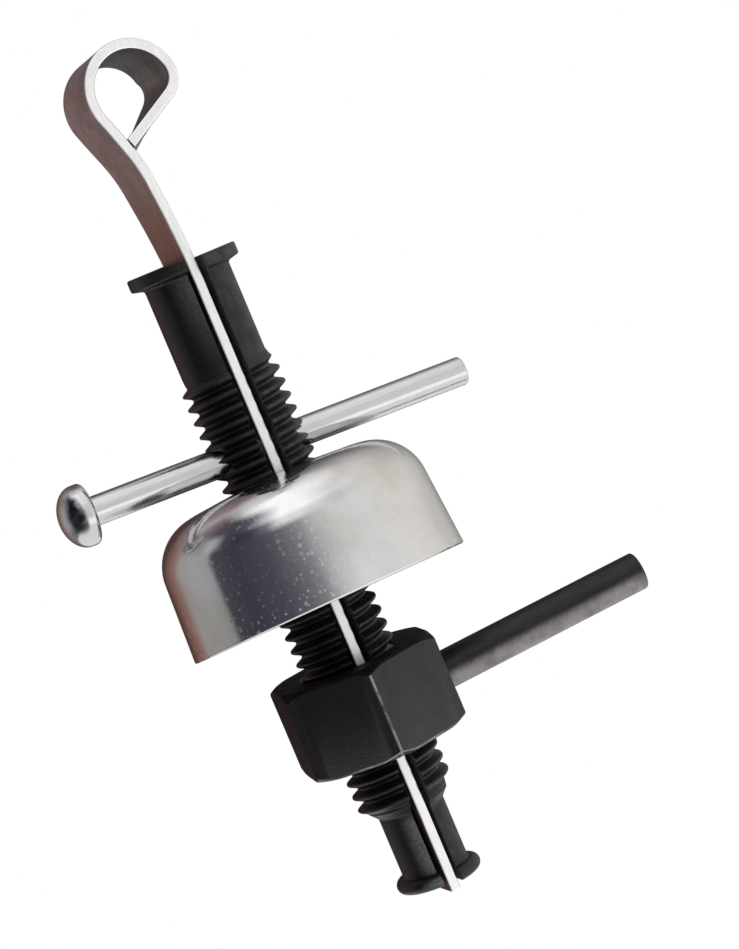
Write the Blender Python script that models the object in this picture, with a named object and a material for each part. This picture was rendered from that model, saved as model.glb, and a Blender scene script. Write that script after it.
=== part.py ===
"""Split-shank wheel-bearing puller, built as the loose pieces that it comes apart into.

A threaded shank, sawn lengthwise in two, has a lip at each end that hooks behind a bearing's
inner race. A flat strip with a bent eye slides between the halves and wedges them apart. A nut
with a rod handle runs on the thread under a pressed steel bell, and a tommy bar through the
shank keeps the shank from turning.

Units are metres. +Z runs along the shank towards the eye of the strip. The origin is on the
shank's axis, in the plane of the small lip's shoulder on the left half. X is square to the
saw cut, so the left half lies at -X and the right half at +X.
"""

import math

import bmesh
import bpy
from mathutils import Matrix, Vector

TURN = 2 * math.pi
MERGE_DISTANCE = 1e-7
CUT_MARGIN = 0.001

# Thread: 5/8 inch Whitworth, right-hand
THREAD_DIAMETER = 0.015875
THREAD_PITCH = 0.0254 / 11
THREAD_DEPTH = 0.0014
FLANK_ANGLE = math.radians(27.5)
THREAD_BOTTOM = 0.0118
THREAD_TOP = 0.0867
RUN_OUT_BOTTOM = 0.0012
RUN_OUT_TOP = 0.0018
RUN_OUT_START = 0.4
THREAD_CLEARANCE = 0.0003

# Shank
SAW_KERF = 0.0031
HALF_SPREAD = 0.0001
END_STEP = 0.0005
SMALL_NECK_DIAMETER = 0.0107
SMALL_LIP_DIAMETER = 0.0139
SMALL_LIP_HEIGHT = 0.0023
BIG_NECK_DIAMETER = 0.0138
BIG_LIP_DIAMETER = 0.0178
BIG_LIP_BOTTOM = 0.1021
BIG_LIP_HEIGHT = 0.0024
LIP_CHAMFER = 0.0005
# Outline of the small lip from its end face up: inset from its edge, height above its end face
SMALL_LIP_OUTLINE = (
    (0.0011, 0.0),
    (0.00015, 0.0008),
    (0.0, 0.00115),
    (0.0003, 0.0020),
    (0.0006, 0.0023),
)
HALF_STEPS = 12

# Tommy bar
BAR_DIAMETER = 0.0047
BAR_HEIGHT = 0.0725
BAR_LEFT_REACH = 0.0288
BAR_RIGHT_REACH = 0.0364
BAR_DROOP = math.radians(2.9)
BAR_HEAD_DIAMETER = 0.0100
BAR_HEAD_RIM = 0.0016
BAR_HEAD_DOME = 0.0036
BAR_HEAD_EDGE = 0.0007
BAR_DOME_ANGLES = (18, 36, 54, 72, 84)
BAR_END_CHAMFER = 0.0005
BAR_STEPS = 24
CROSS_HOLE_DIAMETER = 0.0061

# Wedge strip
STRIP_THICKNESS = 0.0017
STRIP_WIDTH = 0.0127
STRIP_SHIFT = -0.0001
STRIP_BOTTOM = -0.0035
STRIP_STRAIGHT_TOP = 0.0973
STRIP_TRAVEL = 0.030
STRIP_WINDOW_WIDTH = 0.0060
STRIP_WINDOW_STEPS = 8
# Bends of the eye in order: degrees turned (plus turns towards +X), radius, straight run after
# it, and degrees of twist about the strip's own run that are reached by the end of that run
EYE_BENDS = (
    (-6.5, 0.145, 0.0035, 0.0),
    (-13.5, 0.026, 0.0061, 0.0),
    (185, 0.0071, 0.0, -4.0),
    (76, 0.0039, 0.0094, 13.0),
)
EYE_STEP_DEGREES = 9
EYE_LEAST_STEPS = 4
EYE_RUN_STEPS = 3
EYE_TWIST = math.radians(4.5)
EYE_TWIST_TOP = 0.126
EYE_LANDING_HEIGHT = 0.1215
EYE_END_GAP = 0.00015

# Bell
BELL_TOP = 0.0672
BELL_HEIGHT = 0.0216
BELL_RIM_DIAMETER = 0.0463
BELL_SHOULDER_DIAMETER = 0.0448
BELL_SHOULDER_RADIUS = 0.0084
# Angles at which the shoulder's arc meets the crown and the wall, and its steps
BELL_SHOULDER_ARC = (86, 3, 8)
BELL_CROWN_DROP = 0.0005
BELL_WALL = 0.0013
BELL_HOLE_DIAMETER = 0.0172
BELL_TILT = math.radians(-7.8)
BELL_ROLL = math.radians(0.5)
BELL_SHIFT = 0.0002
BELL_STEPS = 48

# Nut and its handle
NUT_BOTTOM = 0.0208
NUT_HEIGHT = 0.0150
NUT_ACROSS_FLATS = 0.0258
NUT_TURN = math.radians(-7)
NUT_CORNER_DIAMETER = 0.0264
NUT_CHAMFER_ANGLE = math.radians(30)
NUT_CHAMFER_REACH = 0.003
NUT_CHAMFER_STEPS = 48
NUT_COUNTERSINK = 0.0009
NUT_BORE_MARGIN = 0.0002
NUT_THREAD_MARGIN = 0.0037
HANDLE_DIAMETER = 0.0063
HANDLE_REACH = 0.0496
HANDLE_DROP = 0.0009
HANDLE_SOCKET_DEPTH = 0.0034
HANDLE_CHAMFER = 0.0005
HANDLE_TILT = math.radians(2.8)
HANDLE_STEPS = 28
FIT_GAP = 0.0003

# Colour, roughness and metallic value of each piece
FINISHES = {
    "half_shank_left": ((0.022, 0.022, 0.024), 0.45, 0.6),
    "half_shank_right": ((0.028, 0.028, 0.030), 0.45, 0.6),
    "wedge_strip": ((0.62, 0.60, 0.58), 0.35, 1.0),
    "tommy_bar": ((0.72, 0.72, 0.73), 0.25, 1.0),
    "bell": ((0.60, 0.60, 0.62), 0.22, 1.0),
    "hex_nut": ((0.030, 0.030, 0.032), 0.50, 0.6),
    "nut_handle": ((0.070, 0.070, 0.074), 0.42, 0.7),
}


# ---------------------------------------------------------------- general helpers

def clear_scene():
    for obj in list(bpy.data.objects):
        bpy.data.objects.remove(obj, do_unlink=True)


def finish_material(name):
    colour, roughness, metallic = FINISHES[name]
    material = bpy.data.materials.new(name + "_finish")
    material.use_nodes = True
    shader = material.node_tree.nodes["Principled BSDF"]
    shader.inputs["Base Color"].default_value = (*colour, 1.0)
    shader.inputs["Roughness"].default_value = roughness
    shader.inputs["Metallic"].default_value = metallic
    return material


def object_from(name, bm, smooth_below=None):
    """Make an object of a bmesh, its faces pointing out. smooth_below is in degrees."""
    bmesh.ops.recalc_face_normals(bm, faces=bm.faces)
    mesh = bpy.data.meshes.new(name)
    bm.to_mesh(mesh)
    bm.free()
    if smooth_below:
        mesh.shade_smooth()
        mesh.set_sharp_from_angle(angle=math.radians(smooth_below))
    obj = bpy.data.objects.new(name, mesh)
    bpy.context.scene.collection.objects.link(obj)
    if name in FINISHES:
        mesh.materials.append(finish_material(name))
    return obj


def cut(obj, cutter, operation="DIFFERENCE"):
    """Shape obj with a cutter, which stays in the file as a hidden guide."""
    cutter.hide_render = True
    cutter.display_type = "WIRE"
    modifier = obj.modifiers.new(cutter.name, "BOOLEAN")
    modifier.operation = operation
    modifier.solver = "EXACT"
    modifier.object = cutter


def loft(rows, closed):
    """Skin the rows of points into quads; a closed loft joins each row's last point to its first."""
    bm = bmesh.new()
    grid = [[bm.verts.new(point) for point in row] for row in rows]
    count = len(rows[0])
    last = count if closed else count - 1
    for lower, upper in zip(grid, grid[1:]):
        for i in range(last):
            k = (i + 1) % count
            bm.faces.new((lower[i], lower[k], upper[k], upper[i]))
    return bm, grid


def turned(name, profile, steps):
    """Turn a profile of (radius, height) about Z; its two ends are closed flat."""
    rows = []
    for radius, height in profile:
        angles = [TURN * i / steps for i in range(steps)]
        rows.append([Vector((radius * math.cos(a), radius * math.sin(a), height)) for a in angles])
    bm, grid = loft(rows, closed=True)
    bm.faces.new(grid[0])
    bm.faces.new(grid[-1])
    return object_from(name, bm, smooth_below=35)


def arc(centre, radius, start, end, steps):
    """Points on an arc in a profile plane, angles in degrees from the first axis."""
    points = []
    for i in range(steps + 1):
        angle = math.radians(start + (end - start) * i / steps)
        points.append((centre[0] + radius * math.cos(angle), centre[1] + radius * math.sin(angle)))
    return points


# ---------------------------------------------------------------- thread

def thread_breaks():
    """Heights, within one pitch, at which the thread's profile changes, and whether at a crest."""
    flank = THREAD_DEPTH * math.tan(FLANK_ANGLE)
    flat = THREAD_PITCH / 2 - flank
    return ((0.0, True), (flat, True), (flat + flank, False), (2 * flat + flank, False))


def helix_rows(bottom, top, radius_at, thetas_at, lead_in=False):
    """Rows of points along the thread's helix that stay between two heights.

    radius_at(height, crest) gives the radius there, and thetas_at(crest) the angles of a row.
    With lead_in, a row at the root that starts too low is kept and held at the bottom, so that
    the groove below the first crest stays open.
    """
    rows = []
    for turn in range(-1, int(top / THREAD_PITCH) + 2):
        for offset, crest in thread_breaks():
            row = []
            for theta in thetas_at(crest):
                height = THREAD_PITCH * (turn + theta / TURN) + offset
                row.append((radius_at(height, crest), theta, height))
            if row[0][2] > bottom and row[-1][2] < top:
                rows.append(row)
            elif lead_in and not crest and row[0][2] < bottom < row[-1][2]:
                rows.append([(radius, theta, max(height, bottom)) for radius, theta, height in row])
    return rows


# ---------------------------------------------------------------- shank

def shank_radius(height, crest):
    """Radius of the shank's thread, which fades out towards both ends."""
    root = THREAD_DIAMETER / 2 - THREAD_DEPTH
    if not crest:
        return root
    rise = min(1.0, max(0.0, (height - THREAD_BOTTOM) / RUN_OUT_BOTTOM))
    fall = min(1.0, max(0.0, (THREAD_TOP - height) / RUN_OUT_TOP))
    start, share = (root, rise) if rise < 1.0 else (BIG_NECK_DIAMETER / 2, fall)
    return start + (RUN_OUT_START + (1 - RUN_OUT_START) * share) * (THREAD_DIAMETER / 2 - start)


def half_thetas(side, radius):
    """Angles across one half at a radius, from one edge of the saw cut to the other."""
    reach = math.acos(SAW_KERF / 2 / radius)
    middle = 0.0 if side > 0 else math.pi
    return [middle + reach * (2 * i / HALF_STEPS - 1) for i in range(HALF_STEPS + 1)]


def half_point(side, radius, theta, height, on_edge):
    """A point on a half, its edge points exactly in the plane of the saw cut."""
    spread = side * HALF_SPREAD
    if not on_edge:
        return Vector((radius * math.cos(theta) + spread, radius * math.sin(theta), height))
    across = math.copysign(math.sqrt(radius ** 2 - (SAW_KERF / 2) ** 2), math.sin(theta))
    return Vector((side * SAW_KERF / 2 + spread, across, height))


def lip_profiles(drop):
    """Turned profiles (radius, height) below and above the thread, lowered by drop."""
    neck, lip = SMALL_NECK_DIAMETER / 2, SMALL_LIP_DIAMETER / 2
    root = THREAD_DIAMETER / 2 - THREAD_DEPTH
    low = [(lip - inset, height - SMALL_LIP_HEIGHT - drop) for inset, height in SMALL_LIP_OUTLINE]
    low += [(neck, -drop), (neck, THREAD_BOTTOM - (root - neck)), (root, THREAD_BOTTOM)]
    neck, lip = BIG_NECK_DIAMETER / 2, BIG_LIP_DIAMETER / 2
    top = BIG_LIP_BOTTOM + BIG_LIP_HEIGHT - drop
    high = [
        (neck, THREAD_TOP),
        (neck, BIG_LIP_BOTTOM - LIP_CHAMFER - drop),
        (neck + LIP_CHAMFER, BIG_LIP_BOTTOM - drop),
        (lip, BIG_LIP_BOTTOM + LIP_CHAMFER - drop),
        (lip, top - LIP_CHAMFER / 2),
        (lip - LIP_CHAMFER / 2, top),
    ]
    return low, high


def half_rows(side):
    """All rows of points up one half, each from one edge of the saw cut to the other."""
    low, high = lip_profiles(END_STEP if side > 0 else 0.0)

    def plain(profile):
        return [[(radius, theta, height) for theta in half_thetas(side, radius)]
                for radius, height in profile]

    def thetas_at(crest):
        return half_thetas(side, THREAD_DIAMETER / 2 - (0.0 if crest else THREAD_DEPTH))

    bottom, top = THREAD_BOTTOM + FIT_GAP, THREAD_TOP - FIT_GAP
    thread = helix_rows(bottom, top, shank_radius, thetas_at, lead_in=True)
    rows = []
    for row in plain(low) + thread + plain(high):
        edges = (0, len(row) - 1)
        rows.append([half_point(side, *polar, i in edges) for i, polar in enumerate(row)])
    return rows


def half_shank(name, side, cross_hole):
    """One half of the split shank; side is -1 for the left half and +1 for the right one."""
    bm, grid = loft(half_rows(side), closed=False)
    bm.faces.new(grid[0])
    bm.faces.new(grid[-1])
    bm.faces.new([row[0] for row in grid] + [row[-1] for row in reversed(grid)])
    obj = object_from(name, bm, smooth_below=25)
    cut(obj, cross_hole)
    return obj


def cross_hole_cutter():
    """A cylinder along X where the tommy bar passes through both halves."""
    reach = THREAD_DIAMETER
    radius = CROSS_HOLE_DIAMETER / 2
    cutter = turned("cross_hole", [(radius, -reach), (radius, reach)], BAR_STEPS)
    cutter.location = (0.0, 0.0, BAR_HEIGHT)
    cutter.rotation_euler = (0.0, math.pi / 2, 0.0)
    return cutter


# ---------------------------------------------------------------- wedge strip

def strip_path():
    """Centre line of the strip in the XZ plane as (x, z, heading, twist).

    The heading turns from +Z to +X, and the twist is about the heading.
    """
    x, z, heading, twist = STRIP_SHIFT, STRIP_STRAIGHT_TOP, 0.0, 0.0
    path = [(x, STRIP_BOTTOM, heading, twist), (x, z, heading, twist)]
    for degrees, radius, run, end_twist in EYE_BENDS:
        steps = max(EYE_LEAST_STEPS, round(abs(degrees) / EYE_STEP_DEGREES))
        step = math.radians(degrees) / steps
        chord = 2 * radius * math.sin(abs(step) / 2)
        moves = [(step, chord)] * steps
        if run:
            moves += [(0.0, run / EYE_RUN_STEPS)] * EYE_RUN_STEPS
        twist_per_length = (math.radians(end_twist) - twist) / sum(length for _, length in moves)
        for turn, length in moves:
            heading += turn / 2
            x += length * math.sin(heading)
            z += length * math.cos(heading)
            heading += turn / 2
            twist += twist_per_length * length
            path.append((x, z, heading, twist))
    return path


def twisted(point):
    """Turn a point of the strip about the Z axis, by an angle that grows up to the eye."""
    share = (point.z - STRIP_STRAIGHT_TOP) / (EYE_TWIST_TOP - STRIP_STRAIGHT_TOP)
    return Matrix.Rotation(EYE_TWIST * min(1.0, max(0.0, share)), 3, "Z") @ point


def strip_window_cutter():
    """A round-ended window in the strip, so that the strip slides past the tommy bar."""
    radius = STRIP_WINDOW_WIDTH / 2
    outline = arc((0.0, BAR_HEIGHT), radius, 0, 180, STRIP_WINDOW_STEPS)
    outline += arc((0.0, BAR_HEIGHT - STRIP_TRAVEL), radius, 180, 360, STRIP_WINDOW_STEPS)
    rows = [[Vector((x, y, z)) for y, z in outline] for x in (-STRIP_WIDTH, STRIP_WIDTH)]
    bm, grid = loft(rows, closed=True)
    bm.faces.new(grid[0])
    bm.faces.new(grid[-1])
    return object_from("strip_window", bm)


def run_and_normal(heading):
    """The directions along the strip and out of its face towards +X, at a heading."""
    along = Vector((math.sin(heading), 0.0, math.cos(heading)))
    return along, Vector((along.z, 0.0, -along.x))


def strip_corners(x, z, heading, twist):
    """The strip's four corners at one place on its path."""
    along, normal = run_and_normal(heading)
    half = normal * STRIP_THICKNESS / 2
    across = Vector((0.0, STRIP_WIDTH, 0.0))
    front = Vector((x, -STRIP_WIDTH / 2, z))
    turn = Matrix.Rotation(twist, 3, along)
    return [front + turn @ corner for corner in (half + across, across - half, -half, half)]


def landed(corners, path):
    """Lengthen the eye's end, and slant it, so that it ends just off the strip's own face."""
    x, z, heading, _ = next(place for place in path if place[1] > EYE_LANDING_HEIGHT)
    _, normal = run_and_normal(heading)
    face = Vector((x, 0.0, z)) + normal * (STRIP_THICKNESS / 2 + EYE_END_GAP)
    along, _ = run_and_normal(path[-1][2])
    return [corner + along * ((face - corner).dot(normal) / along.dot(normal)) for corner in corners]


def wedge_strip():
    """The flat strip between the halves, bent into an eye at the top."""
    path = strip_path()
    rows = [strip_corners(*place) for place in path]
    rows[-1] = landed(rows[-1], path)
    bm, grid = loft([[twisted(corner) for corner in row] for row in rows], closed=True)
    bm.faces.new(grid[0])
    bm.faces.new(grid[-1])
    obj = object_from("wedge_strip", bm, smooth_below=25)
    cut(obj, strip_window_cutter())
    return obj


# ---------------------------------------------------------------- tommy bar

def tommy_bar():
    """A round bar with a domed head on its left end, lying loose in the cross hole."""
    bar, head = BAR_DIAMETER / 2, BAR_HEAD_DIAMETER / 2
    under = -BAR_LEFT_REACH
    rim = under - BAR_HEAD_RIM
    profile = [(bar - BAR_END_CHAMFER, BAR_RIGHT_REACH), (bar, BAR_RIGHT_REACH - BAR_END_CHAMFER)]
    profile += [(bar, under), (head - BAR_HEAD_EDGE, under), (head, under - BAR_HEAD_EDGE)]
    profile.append((head, rim))
    for degrees in BAR_DOME_ANGLES:
        angle = math.radians(degrees)
        profile.append((head * math.cos(angle), rim - BAR_HEAD_DOME * math.sin(angle)))
    obj = turned("tommy_bar", profile, BAR_STEPS)
    obj.rotation_euler = (0.0, math.pi / 2 + BAR_DROOP, 0.0)
    obj.location = (0.0, 0.0, BAR_HEIGHT)
    return obj


# ---------------------------------------------------------------- bell

def bell_profile():
    """The wall's section as one loop of (radius, height), measured down from the flat top."""
    hole = BELL_HOLE_DIAMETER / 2
    shoulder = BELL_SHOULDER_DIAMETER / 2
    rim = BELL_RIM_DIAMETER / 2
    centre = (shoulder - BELL_SHOULDER_RADIUS, -BELL_SHOULDER_RADIUS - BELL_CROWN_DROP)
    crown, wall, steps = BELL_SHOULDER_ARC
    outer = arc(centre, BELL_SHOULDER_RADIUS, crown, wall, steps)
    inner = arc(centre, BELL_SHOULDER_RADIUS - BELL_WALL, wall, crown, steps)
    rim_edge = [(rim, -BELL_HEIGHT), (rim - BELL_WALL, -BELL_HEIGHT)]
    return [(hole, 0.0)] + outer + rim_edge + inner + [(hole, -BELL_WALL)]


def bell():
    """A pressed cup, open side down, tipped on the shank as far as its hole allows."""
    profile = bell_profile()
    rows = []
    for i in range(BELL_STEPS):
        angle = TURN * i / BELL_STEPS
        rows.append([Vector((r * math.cos(angle), r * math.sin(angle), z)) for r, z in profile])
    rows.append(rows[0])
    bm, _ = loft(rows, closed=True)
    bmesh.ops.remove_doubles(bm, verts=bm.verts, dist=MERGE_DISTANCE)
    obj = object_from("bell", bm, smooth_below=35)
    obj.location = (BELL_SHIFT, 0.0, BELL_TOP)
    obj.rotation_euler = (BELL_TILT, BELL_ROLL, 0.0)
    return obj


# ---------------------------------------------------------------- nut and handle

def close_with_fans(bm, middle):
    """Close the open ends below and above a height, each with a fan about the Z axis."""
    edges = [edge for edge in bm.edges if edge.is_boundary]
    for side in (-1, 1):
        rim = [edge for edge in edges if side * (edge.verts[0].co.z - middle) > 0]
        height = sum(edge.verts[0].co.z for edge in rim) / len(rim)
        apex = bm.verts.new((0.0, 0.0, height))
        for edge in rim:
            bm.faces.new((*edge.verts, apex))


def nut_thread_cutter():
    """The shank's thread, wider by the clearance, and longer than the nut."""
    steps = 2 * HALF_STEPS
    thetas = [TURN * i / steps for i in range(steps + 1)]

    def radius_at(_height, crest):
        return THREAD_DIAMETER / 2 + THREAD_CLEARANCE - (0.0 if crest else THREAD_DEPTH)

    bottom = NUT_BOTTOM - NUT_THREAD_MARGIN
    top = NUT_BOTTOM + NUT_HEIGHT + NUT_THREAD_MARGIN
    polar_rows = helix_rows(bottom - THREAD_PITCH, top + THREAD_PITCH, radius_at, lambda crest: thetas)
    rows = [[Vector((r * math.cos(a), r * math.sin(a), z)) for r, a, z in row] for row in polar_rows]
    bm, grid = loft(rows, closed=False)
    bmesh.ops.remove_doubles(bm, verts=bm.verts, dist=MERGE_DISTANCE)
    close_with_fans(bm, (bottom + top) / 2)
    return object_from("nut_thread", bm)


def nut_bore_cutter():
    """Countersinks at both faces of the nut, joined by a bore just inside the thread."""
    wide = THREAD_DIAMETER / 2 + THREAD_CLEARANCE + NUT_BORE_MARGIN
    narrow = wide - NUT_COUNTERSINK - THREAD_DEPTH
    depth = (wide - narrow) * math.tan(NUT_CHAMFER_ANGLE)
    top = NUT_BOTTOM + NUT_HEIGHT
    profile = [(wide, NUT_BOTTOM - CUT_MARGIN), (wide, NUT_BOTTOM), (narrow, NUT_BOTTOM + depth)]
    profile += [(narrow, top - depth), (wide, top), (wide, top + CUT_MARGIN)]
    return turned("nut_bore", profile, 2 * HALF_STEPS)


def nut_chamfer_body():
    """A turned body that takes the hexagon's corners off at both faces."""
    flat = NUT_CORNER_DIAMETER / 2
    half = NUT_HEIGHT / 2
    wide = flat + NUT_CHAMFER_REACH
    drop = NUT_CHAMFER_REACH * math.tan(NUT_CHAMFER_ANGLE)
    profile = [(flat, -half), (wide, drop - half), (wide, half - drop), (flat, half)]
    return turned("nut_chamfer", profile, NUT_CHAMFER_STEPS)


def hex_nut(axis):
    """The hexagon nut, threaded, with a socket in one flat for the handle."""
    corner = NUT_ACROSS_FLATS / 2 / math.cos(math.pi / 6)
    half = NUT_HEIGHT / 2
    rows = []
    for z in (-half, half):
        angles = [TURN * (i + 0.5) / 6 for i in range(6)]
        rows.append([Vector((corner * math.cos(a), corner * math.sin(a), z)) for a in angles])
    bm, grid = loft(rows, closed=True)
    bm.faces.new(grid[0])
    bm.faces.new(grid[-1])
    obj = object_from("hex_nut", bm, smooth_below=20)
    obj.parent = axis
    chamfer = nut_chamfer_body()
    chamfer.parent = axis
    socket = handle_rod("handle_socket", HANDLE_DIAMETER / 2 + FIT_GAP, socket_floor() - FIT_GAP, axis)
    cut(obj, chamfer, "INTERSECT")
    cut(obj, nut_bore_cutter())
    cut(obj, nut_thread_cutter())
    cut(obj, socket)
    return obj


def socket_floor():
    """Distance from the nut's axis at which the handle's inner end sits."""
    return NUT_ACROSS_FLATS / 2 - HANDLE_SOCKET_DEPTH


def handle_rod(name, radius, inner, axis):
    """A rod along the nut's +X, tilted up, from the inner distance to the handle's end."""
    profile = [(radius, inner), (radius, HANDLE_REACH - HANDLE_CHAMFER)]
    profile.append((radius - HANDLE_CHAMFER, HANDLE_REACH))
    rod = turned(name, profile, HANDLE_STEPS)
    rod.parent = axis
    rod.location = (0.0, 0.0, -HANDLE_DROP)
    rod.rotation_euler = (0.0, math.pi / 2 - HANDLE_TILT, 0.0)
    return rod


def nut_assembly():
    """The nut and its handle on an empty at the nut's centre, on the shank's axis."""
    axis = bpy.data.objects.new("nut_axis", None)
    bpy.context.scene.collection.objects.link(axis)
    axis.location = (0.0, 0.0, NUT_BOTTOM + NUT_HEIGHT / 2)
    axis.rotation_euler = (0.0, 0.0, NUT_TURN)
    hex_nut(axis)
    handle_rod("nut_handle", HANDLE_DIAMETER / 2, socket_floor(), axis)


def main():
    clear_scene()
    cross_hole = cross_hole_cutter()
    half_shank("half_shank_left", -1, cross_hole)
    half_shank("half_shank_right", 1, cross_hole)
    wedge_strip()
    tommy_bar()
    bell()
    nut_assembly()


main()
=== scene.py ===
"""The looks of the split-shank wheel-bearing puller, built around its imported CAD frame.

Each CAD node is replaced by a finer piece of the same size: rounded threads, saw marks, broken
edges and worn corners. Units are metres, in the CAD's own frame: +Z runs along the shank towards
the eye of the strip, and X is square to the saw cut.
"""

import math

import bmesh
import bpy
from mathutils import Matrix, Vector


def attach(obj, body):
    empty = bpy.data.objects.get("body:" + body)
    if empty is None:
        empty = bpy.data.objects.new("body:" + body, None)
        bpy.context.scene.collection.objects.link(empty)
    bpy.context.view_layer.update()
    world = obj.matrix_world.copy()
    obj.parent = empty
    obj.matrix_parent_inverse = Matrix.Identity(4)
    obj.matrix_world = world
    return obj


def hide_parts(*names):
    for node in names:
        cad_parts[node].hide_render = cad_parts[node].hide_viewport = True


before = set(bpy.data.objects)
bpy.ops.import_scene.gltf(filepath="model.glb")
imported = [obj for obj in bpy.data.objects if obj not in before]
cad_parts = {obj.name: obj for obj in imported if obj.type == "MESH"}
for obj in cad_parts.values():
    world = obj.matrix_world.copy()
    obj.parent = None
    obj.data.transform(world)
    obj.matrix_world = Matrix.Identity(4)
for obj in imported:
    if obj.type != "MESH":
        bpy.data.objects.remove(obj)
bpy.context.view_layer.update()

TURN = 2 * math.pi
MM = 0.001
INCH = 25.4 * MM
MERGE_DISTANCE = 1e-7
CUT_MARGIN = 1 * MM
FIT_GAP = 0.3 * MM
SUPPORT_REACH = 0.12 * MM
SUPPORT_LEAST = 0.5 * MM

# Camera
CAMERA_AZIMUTH = math.radians(-17)
CAMERA_ELEVATION = math.radians(5.5)
CAMERA_ROLL = math.radians(22.72)
CAMERA_DISTANCE = 441.6 * MM
CAMERA_TARGET_HEIGHT = 61.9 * MM
CAMERA_TARGET_SHIFT = 14.43 * MM
CAMERA_LENS = 106.2
SENSOR_WIDTH = 36.0
CLIP_START = 10 * MM

# Thread: 5/8 inch Whitworth, cut a little shallow
THREAD_DIAMETER = 5 / 8 * INCH
THREAD_PITCH = INCH / 11
THREAD_DEPTH = 1.4 * MM
FLANK_ANGLE = math.radians(27.5)
THREAD_BOTTOM = 11.8 * MM
THREAD_TOP = 86.7 * MM
RUN_OUT_BOTTOM = 1.2 * MM
RUN_OUT_TOP = 2.6 * MM
# Share of the thread's depth that is there at its lower end
RUN_OUT_START = 0.4
THREAD_CLEARANCE = 0.3 * MM
THREAD_ARC_STEPS = 4
LEAD_IN_STEP = 0.01 * MM
# Height of the thread's crest where the helix starts, on +X
CREST_OFFSET = (THREAD_PITCH / 2 - THREAD_DEPTH * math.tan(FLANK_ANGLE)) / 2

# Shank
SAW_KERF = 3.1 * MM
HALF_SPREAD = 0.1 * MM
END_STEP = 0.5 * MM
SMALL_NECK_RADIUS = 5.35 * MM
SMALL_LIP_RADIUS = 6.95 * MM
SMALL_LIP_HEIGHT = 2.3 * MM
SMALL_FACE_INSET = 0.95 * SMALL_LIP_HEIGHT
SMALL_FILLET_WIDTH = 0.35 * MM
SMALL_FILLET_HEIGHT = 0.3 * MM
SMALL_FILLET_MIDDLE = 0.1 * MM
SMALL_FILLET_RISE = 0.05 * MM
BIG_NECK_RADIUS = 6.9 * MM
BIG_NECK_FILLET = 0.5 * MM
BIG_LIP_RADIUS = 8.9 * MM
BIG_LIP_BOTTOM = 102.1 * MM
BIG_LIP_HEIGHT = 2.4 * MM
BIG_LIP_UNDER_ROUND = 0.4 * MM
BIG_LIP_UNDER_RISE = 0.7 * MM
BIG_LIP_TOP_ROUND = 0.35 * MM
BIG_FACE_INSET = 0.6 * MM
HALF_STEPS = 44
CROSS_HOLE_RADIUS = 3.05 * MM
CROSS_HOLE_STEPS = 48

# Tommy bar
BAR_RADIUS = 2.35 * MM
BAR_HEIGHT = 72.5 * MM
BAR_LEFT_REACH = 28.8 * MM
BAR_RIGHT_REACH = 36.4 * MM
BAR_DROOP = math.radians(2.9)
BAR_HEAD_RADIUS = 5.0 * MM
BAR_HEAD_RIM = 1.6 * MM
BAR_HEAD_EDGE = 0.9 * MM
BAR_HEAD_FILLET = 0.3 * MM
BAR_HEAD_DOME = 3.6 * MM
BAR_DOME_STEPS = 24
BAR_END_EDGE = 0.45 * MM
BAR_END_INSET = 0.5 * MM
ROD_STEPS = 72
# The side of the domed head that gets a painted dark reflection
PAINTED_DARK_REFLECTION_SIDE = Vector((-0.44, -0.89, 0.12))

# Wedge strip
STRIP_THICKNESS = 1.7 * MM
STRIP_WIDTH = 12.7 * MM
STRIP_SHIFT = -0.1 * MM
STRIP_BOTTOM = -3.5 * MM
STRIP_STRAIGHT_TOP = 97.3 * MM
STRIP_TRAVEL = 30 * MM
STRIP_WINDOW_RADIUS = 3.0 * MM
STRIP_WINDOW_STEPS = 24
STRIP_EDGE_RADIUS = 0.3 * MM
# Bends of the eye in order: degrees turned (plus turns towards +X), radius, straight run after
# it, and degrees of twist about the strip's own run that are reached by the end of that run
EYE_BENDS = (
    (-6.5, 145 * MM, 3.5 * MM, 0.0),
    (-13.5, 26 * MM, 6.1 * MM, 0.0),
    (185, 7.1 * MM, 0.0, -4.0),
    (76, 3.9 * MM, 9.4 * MM, 13.0),
)
EYE_STEP_DEGREES = 3
EYE_LEAST_STEPS = 6
EYE_RUN_STEPS = 8
EYE_TWIST = math.radians(4.5)
EYE_TWIST_TOP = 126 * MM
EYE_LANDING_HEIGHT = 121.5 * MM
EYE_END_GAP = 0.15 * MM

# Bell
BELL_TOP = 67.2 * MM
BELL_HEIGHT = 21.6 * MM
BELL_RIM_RADIUS = 23.15 * MM
BELL_SHOULDER_RADIUS = 22.4 * MM
BELL_CORNER_RADIUS = 8.4 * MM
# Where the corner's arc starts and ends, in degrees above level
BELL_CORNER_HIGH = 86
BELL_CORNER_LOW = 3
BELL_CROWN_DROP = 0.5 * MM
BELL_WALL = 1.3 * MM
BELL_HOLE_RADIUS = 8.6 * MM
BELL_EDGE_RADIUS = 0.35 * MM
BELL_TILT = math.radians(-7.8)
BELL_ROLL = math.radians(0.5)
BELL_SHIFT = 0.2 * MM
BELL_STEPS = 192

# Nut and its handle
NUT_BOTTOM = 20.8 * MM
NUT_HEIGHT = 15.0 * MM
NUT_FLAT_DISTANCE = 12.9 * MM
NUT_TURN = math.radians(-7)
NUT_FACE_RADIUS = 13.2 * MM
NUT_CORNER_ROUND = 0.45 * MM
NUT_EDGE = 0.25 * MM
NUT_WORN = 0.18 * MM
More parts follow.
